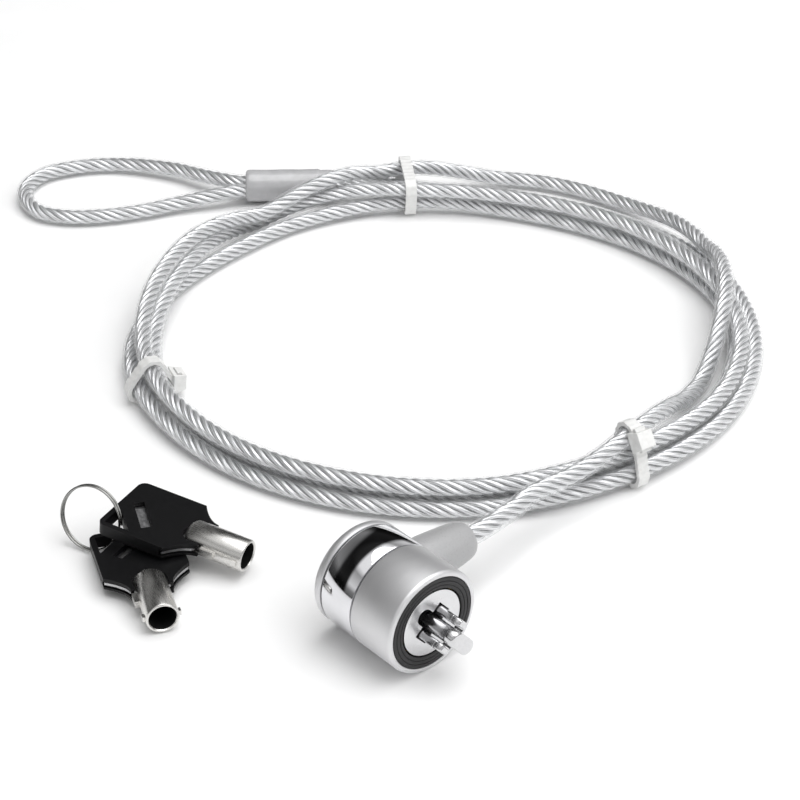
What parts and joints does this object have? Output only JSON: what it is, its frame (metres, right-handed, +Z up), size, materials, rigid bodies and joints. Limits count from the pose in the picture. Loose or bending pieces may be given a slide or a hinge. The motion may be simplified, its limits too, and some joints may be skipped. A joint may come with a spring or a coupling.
{
  "type": "laptop cable lock",
  "caption": "Cable lock for a laptop: round lock head with a T-bar on a swivelling band, coiled clear-jacketed steel cable with an end loop, tubular keys on a split ring.",
  "frame": {"origin": "on the surface the object lies on, under the middle of the box around the lock head and the keys (the cable left out)", "axes": "+X points out of the lock head's front face along its axis, +Y is the way the cable leaves the head, +Z is up"},
  "size_m": [0.2077, 0.1793, 0.0201],
  "materials": {
    "satin_metal": "satin plated",
    "polished_band": "polished",
    "face_rubber": "matte",
    "pin_steel": "bright",
    "core_brass": "machined",
    "boot_plastic": "soft matte",
    "cable_steel": "twisted wire under a clear jacket",
    "ferrule_cover": "glossy",
    "tie_nylon": "translucent white",
    "key_plastic": "fine satin grain",
    "key_plate": "satin",
    "nickel_plate": "nickel, drawn lengthwise"
  },
  "bodies": {
    "cable_side": {"swivel_ring": "polished_band", "boot": "boot_plastic", "cable_anchor": "pin_steel", "crimp_plug": "cable_steel", "anchor_pin": "pin_steel", "cable_lead": "cable_steel", "cable_coil": "cable_steel", "cable_eye": "cable_steel", "ferrule": "pin_steel", "ferrule_sleeve": "ferrule_cover", "tie_top": "tie_nylon", "tie_left": "tie_nylon", "tie_right": "tie_nylon"},
    "housing": {"front_sleeve": "satin_metal", "rear_cap": "satin_metal", "core_shell": "core_brass", "face_ring": "face_rubber", "face_disc": "satin_metal", "guide_pins": "pin_steel", "retaining_clip": "pin_steel"},
    "rotor": {"t_bar": "pin_steel", "core_rotor": "core_brass", "roll_pin": "pin_steel", "tumbler_spring_1": "pin_steel", "tumbler_spring_2": "pin_steel", "tumbler_spring_3": "pin_steel", "tumbler_spring_4": "pin_steel", "tumbler_spring_5": "pin_steel", "tumbler_spring_6": "pin_steel", "tumbler_spring_7": "pin_steel"},
    "tumblers": {"tumbler_pin_1": "pin_steel", "tumbler_pin_2": "pin_steel", "tumbler_pin_3": "pin_steel", "tumbler_pin_4": "pin_steel", "tumbler_pin_5": "pin_steel", "tumbler_pin_6": "pin_steel", "tumbler_pin_7": "pin_steel"},
    "ring": {"key_ring": "nickel_plate"},
    "key_1": {"key_1_bow": "key_plastic", "key_1_plate": "key_plate", "key_1_barrel": "nickel_plate"},
    "key_2": {"key_2_bow": "key_plastic", "key_2_plate": "key_plate", "key_2_barrel": "nickel_plate"}
  },
  "joints": [
    {"name": "head_swivel", "type": "hinge", "parent": "cable_side", "child": "housing", "pos_m": [0.019, 0.0055, 0.01005], "axis": [1, 0, 0], "continuous": true},
    {"name": "t_bar_turn", "type": "hinge", "parent": "housing", "child": "rotor", "pos_m": [0.0265, 0.0055, 0.01005], "axis": [1, 0, 0], "range_deg": [0, 90]},
    {"name": "tumbler_press", "type": "slide", "parent": "rotor", "child": "tumblers", "axis": [1, 0, 0], "range_m": [0, 0.0012], "stiffness_N_per_m": 200, "springref_m": -0.0008, "deforming": ["tumbler_spring_1", "tumbler_spring_2", "tumbler_spring_3", "tumbler_spring_4", "tumbler_spring_5", "tumbler_spring_6", "tumbler_spring_7"]},
    {"name": "ring_lift", "type": "slide", "parent": "cable_side", "child": "ring", "axis": [0, 0, 1], "range_m": [0, 0.06]},
    {"name": "key_1_swing", "type": "hinge", "parent": "ring", "child": "key_1", "pos_m": [-0.0351, -0.01865, 0.0065], "axis": [0.3748, -0.8787, 0.2957], "range_deg": [0, 60]},
    {"name": "key_2_swing", "type": "hinge", "parent": "ring", "child": "key_2", "pos_m": [-0.0351, -0.01865, 0.0065], "axis": [0.3748, -0.8787, 0.2957], "range_deg": [-40, 0]}
  ]
}
